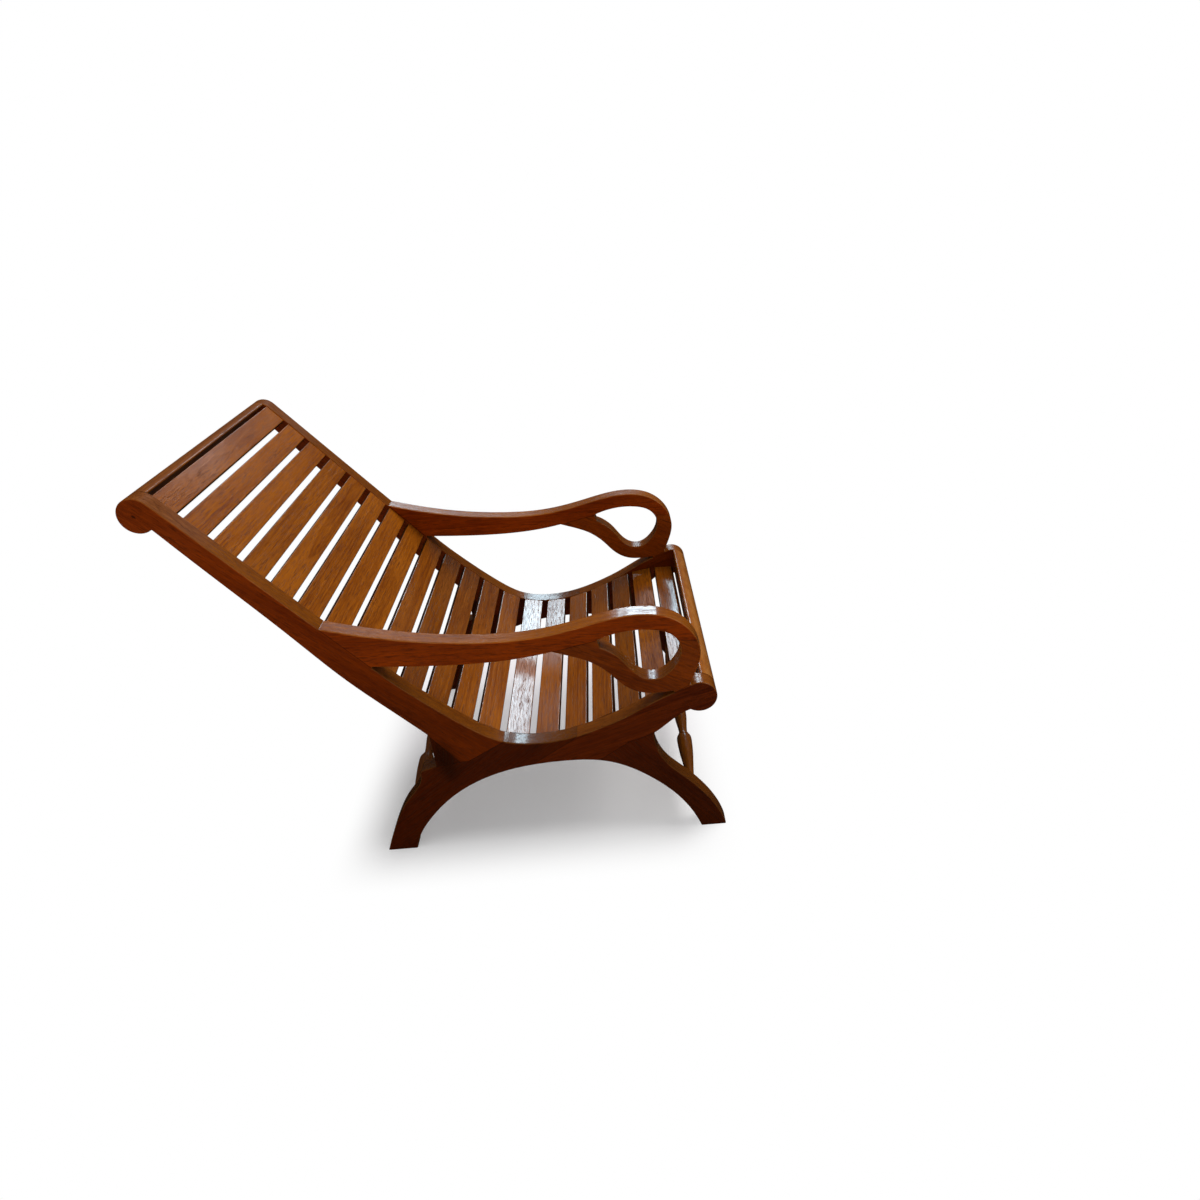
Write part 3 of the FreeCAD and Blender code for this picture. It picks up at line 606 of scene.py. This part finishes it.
def slatCut(number):
    # The draws stay in this order, because every slat's figure hangs on it
    across = slatFacts["heartAcross"]
    aside = slatCuts.uniform(-across, across)
    depth = slatCuts.choice((-1, 1)) * slatCuts.uniform(*slatFacts["heartDepths"])
    return {
        "heart": (0.0, aside, depth),
        "ringWidth": slatFacts["ringWidth"] * slatCuts.uniform(*slatFacts["ringShares"]),
        "wander": slatFacts["wander"],
        "seed": slatFacts["firstSeed"] + slatFacts["seedStep"] * number,
        "tone": slatToneShares[number],
        "wearAndSheen": slatFacts["wearAndSheen"],
        "contrast": slatFacts["contrast"],
        "edgeShade": slatFacts["edgeShade"],
        **handledSlats.get(number + 1, {}),
    }


for number, name in enumerate(slatNames):
    outward = slatOutward(number)
    dress(name, teakMaterial(f"teak_{name}", slatMiddles[number], (0.0, 1.0, 0.0), outward, slatCut(number),
                             faceAxis=tuple(outward)))
print("slats finished")


# Rails and stretchers, whose grain runs across the chair

crossCut = {"heart": (0.0, 0.020, -0.055), "ringWidth": 0.0050, "wander": 0.010}
crossSeeds = {"first": 200.0, "step": 5.3}
crossFacts = {
    "top_rail": {"outward": (-0.7, 0.0, 0.7), "tone": 0.80, "polish": 0.15, "rougher": 0.20},
    # The front rail's lighter tone and rubbed band are partly a painted golden highlight along it
    "front_rail": {"outward": (1.0, 0.0, 0.0), "tone": 1.12, "wearAndSheen": 0.50, "polish": 0.8},
    "front_stretcher": {"outward": (0.0, 0.0, 1.0), "tone": 0.55},
    "rear_stretcher": {"outward": (0.0, 0.0, 1.0), "tone": 0.70, "polish": 0.2, "rougher": 0.2},
}
for number, (name, facts) in enumerate(crossFacts.items()):
    cut = crossCut | facts | {"seed": crossSeeds["first"] + crossSeeds["step"] * number}
    dress(name, teakMaterial(f"teak_{name}", middleOf(name), (0.0, 1.0, 0.0), facts["outward"], cut,
                             faceAxis=facts["outward"]))


# Dowels, hidden in the splices of the side frames

dowelCut = {"heart": (0.0, 0.010, -0.030), "ringWidth": 0.0030, "wander": 0.004, "tone": 1.2}
dowelSeed = 300.0
for number, joint in enumerate(("rail", "leg", "arm")):
    name = f"{joint}_joint_dowels"
    cut = dowelCut | {"seed": dowelSeed + number}
    dress(name, teakMaterial(f"teak_{name}", middleOf(name), (1.0, 0.0, 0.0), (0.0, 0.0, 1.0), cut))
print("rails, stretchers and dowels finished")


# Floor and world: pale, and white where the picture runs out. The floor keeps its real
# shading only near the chair, and the shadow there is lifted a little. Under the far part of
# the seat its colour turns lavender, a painted tint of the shade there.

studio = {
    "floorHalf": 12.0,
    "shadowCentre": (0.10, 0.05, 0.0),
    "shadowInner": (0.30, 0.31),
    "shadowOuter": (0.46, 0.50),
    "shadowLift": 0.20,
    "shadowFarLift": 0.20,
    "shadowFarRange": (-0.17, 0.07),
    "floorColour": (0.99, 0.985, 1.0),
    # Lavender, a painted tint of the shade on the floor under the far part of the seat
    "floorFarShadeTint": (0.94, 0.89, 0.95),
    "floorBounce": (0.34, 0.32, 0.31),
    "floorGloss": (0.012, 0.011, 0.010),
    "skyLevel": 0.32,
    "skyGloss": 0.012,
    "farGloss": 0.05,
    "farGlossRange": (0.2, 0.9),
    "topPlace": (0.0, 0.0, 3.0),
    "topTowards": (0.45, 0.35, 1.0),
    "topLevel": 2.2,
    "topAngle": 60.0,
    "topColour": (1.0, 0.985, 0.96),
}

# Windows that show only as reflections in the polish. The rear one is a slanted stack of
# panes, each from left to right and from its sill to its head, in an upright plane beyond
# the chair's left side. Its distance is from the middle of the chair.
windows = {
    "rearDistance": 8.0,
    "rearLevel": 14.0,
    "rearColour": (0.64, 0.87, 1.0),
    "rearPanes": {
        "lowPane": {"left": -1.30, "right": 2.90, "sill": 4.45, "head": 4.98},
        "middlePane": {"left": -1.00, "right": 2.90, "sill": 4.98, "head": 5.35},
        "upperPane": {"left": -0.35, "right": 2.40, "sill": 5.35, "head": 5.90},
        "highPane": {"left": -0.05, "right": 1.35, "sill": 5.90, "head": 7.60},
        "sidePane": {"left": 2.40, "right": 3.00, "sill": 5.40, "head": 6.50},
    },
    "frontPlace": (3.2, -0.8, 3.0),
    "frontTowards": (3.3, -0.8, 2.5),
    "frontSize": 2.0,
    "frontLevel": 1.6,
    "frontColour": (1.0, 0.92, 0.88),
}


def solidColour(colour):
    return tuple(colour) + (1.0,)


def shadowMask(tree, fromCentre, far):
    # 1 where the floor keeps its own shading, and 0 where it turns into plain white
    away = addNode(tree, "SeparateXYZ")
    tree.links.new(vectors(tree, "ABSOLUTE", fromCentre), away.inputs[0])
    inner, outer = studio["shadowInner"], studio["shadowOuter"]
    kept = [remap(tree, away.outputs[axis], inner[axis], outer[axis], 1.0, 0.0) for axis in (0, 1)]
    lifted = maths(tree, "MULTIPLY_ADD", far, -studio["shadowFarLift"], 1.0 - studio["shadowLift"])
    return maths(tree, "MULTIPLY", maths(tree, "MULTIPLY", kept[0], kept[1]), lifted)


def floorMaterial():
    material = bpy.data.materials.new("paleFloor")
    material.use_nodes = True
    tree = material.node_tree
    tree.nodes.remove(tree.nodes["Principled BSDF"])
    ray = addNode(tree, "LightPath")
    coords = addNode(tree, "TexCoord")
    fromCentre = vectors(tree, "SUBTRACT", coords.outputs["Object"], studio["shadowCentre"])
    across = addNode(tree, "SeparateXYZ")
    tree.links.new(fromCentre, across.inputs[0])
    far = remap(tree, across.outputs["Y"], *studio["shadowFarRange"])
    seen = addNode(tree, "BsdfDiffuse")
    # Far under the seat the floor takes the lavender painted tint of shade
    colour = mixed(tree, far, solidColour(studio["floorColour"]), solidColour(studio["floorFarShadeTint"]))
    tree.links.new(colour, seen.inputs["Color"])
    glow = addNode(tree, "Emission")
    glow.inputs["Strength"].default_value = 1.0
    fade = addNode(tree, "MixShader")
    tree.links.new(shadowMask(tree, fromCentre, far), fade.inputs[0])
    tree.links.new(glow.outputs[0], fade.inputs[1])
    tree.links.new(seen.outputs[0], fade.inputs[2])
    unseen = addNode(tree, "BsdfDiffuse")
    bounce = mixed(tree, ray.outputs["Is Glossy Ray"], solidColour(studio["floorBounce"]),
                   solidColour(studio["floorGloss"]))
    tree.links.new(bounce, unseen.inputs["Color"])
    pick = addNode(tree, "MixShader")
    tree.links.new(ray.outputs["Is Camera Ray"], pick.inputs[0])
    tree.links.new(unseen.outputs[0], pick.inputs[1])
    tree.links.new(fade.outputs[0], pick.inputs[2])
    tree.links.new(pick.outputs[0], tree.nodes["Material Output"].inputs["Surface"])
    return material


def layFloor():
    mesh = bpy.data.meshes.new("floor")
    sheet = bmesh.new()
    bmesh.ops.create_grid(sheet, x_segments=1, y_segments=1, size=studio["floorHalf"])
    sheet.to_mesh(mesh)
    sheet.free()
    mesh.materials.append(floorMaterial())
    floor = bpy.data.objects.new("floor", mesh)
    bpy.context.scene.collection.objects.link(floor)


def lightWorld():
    world = bpy.data.worlds.new("paleWorld")
    bpy.context.scene.world = world
    world.use_nodes = True
    tree = world.node_tree
    back = tree.nodes["Background"]
    ray = addNode(tree, "LightPath")
    coords = addNode(tree, "TexCoord")
    towards = addNode(tree, "SeparateXYZ")
    tree.links.new(coords.outputs["Generated"], towards.inputs[0])
    gloss = remap(tree, towards.outputs["Y"], *studio["farGlossRange"],
                  studio["skyGloss"], studio["farGloss"])
    change = maths(tree, "SUBTRACT", gloss, studio["skyLevel"])
    change = maths(tree, "MULTIPLY", ray.outputs["Is Glossy Ray"], change)
    unseen = maths(tree, "ADD", change, studio["skyLevel"])
    tree.links.new(maths(tree, "MAXIMUM", ray.outputs["Is Camera Ray"], unseen), back.inputs["Strength"])
    back.inputs["Color"].default_value = (1.0, 1.0, 1.0, 1.0)


def addLamp(name, kind, place, towards, **settings):
    # A lamp shines along its own -Z, so its Z looks back to where the light comes from
    lamp = bpy.data.lights.new(name, kind)
    for key, value in settings.items():
        setattr(lamp, key, value)
    holder = bpy.data.objects.new(name, lamp)
    holder.location = place
    holder.rotation_euler = Vector(towards).to_track_quat("Z", "Y").to_euler()
    holder.visible_camera = False
    bpy.context.scene.collection.objects.link(holder)
    return holder


def addPane(name, place, towards, width, height, level, colour):
    pane = addLamp(name, "AREA", place, towards, shape="RECTANGLE", size=width, size_y=height,
                   energy=level * math.pi * width * height, color=colour)
    pane.visible_diffuse = False


def hangWindows():
    for name, pane in windows["rearPanes"].items():
        middle = (pane["left"] + pane["right"]) / 2
        rise = (pane["sill"] + pane["head"]) / 2
        addPane(name, (middle, windows["rearDistance"], rise), (0.0, 1.0, 0.0),
                pane["right"] - pane["left"], pane["head"] - pane["sill"],
                windows["rearLevel"], windows["rearColour"])
    size = windows["frontSize"]
    addPane("frontPane", windows["frontPlace"], windows["frontTowards"], size, size,
            windows["frontLevel"], windows["frontColour"])


layFloor()
lightWorld()
hangWindows()
topLight = addLamp("topLight", "SUN", studio["topPlace"], studio["topTowards"], energy=studio["topLevel"],
                   angle=math.radians(studio["topAngle"]), color=studio["topColour"])
topLight.visible_glossy = False
print("floor and light set")


# Camera at the photograph's place

view = {
    "lens": 23.68,
    "sensor": 36.0,
    "place": (0.3489, -1.5937, 1.3046),
    "turn": -2.288,
    "pitch": 29.258,
    "roll": -6.280,
}


def setCamera():
    turn, pitch, roll = (math.radians(view[key]) for key in ("turn", "pitch", "roll"))
    ahead = Vector((math.sin(turn) * math.cos(pitch), math.cos(turn) * math.cos(pitch), -math.sin(pitch)))
    level = Vector((math.cos(turn), -math.sin(turn), 0.0))
    upright = level.cross(ahead)
    right = level * math.cos(roll) + upright * math.sin(roll)
    up = upright * math.cos(roll) - level * math.sin(roll)
    lens = bpy.data.cameras.new("photoCamera")
    lens.lens = view["lens"]
    lens.sensor_width = view["sensor"]
    camera = bpy.data.objects.new("photoCamera", lens)
    turnMatrix = Matrix((right, up, -ahead)).transposed()
    camera.matrix_world = Matrix.Translation(view["place"]) @ turnMatrix.to_4x4()
    bpy.context.scene.collection.objects.link(camera)
    bpy.context.scene.camera = camera


setCamera()
bpy.context.scene.view_settings.view_transform = "Standard"
print("camera set")
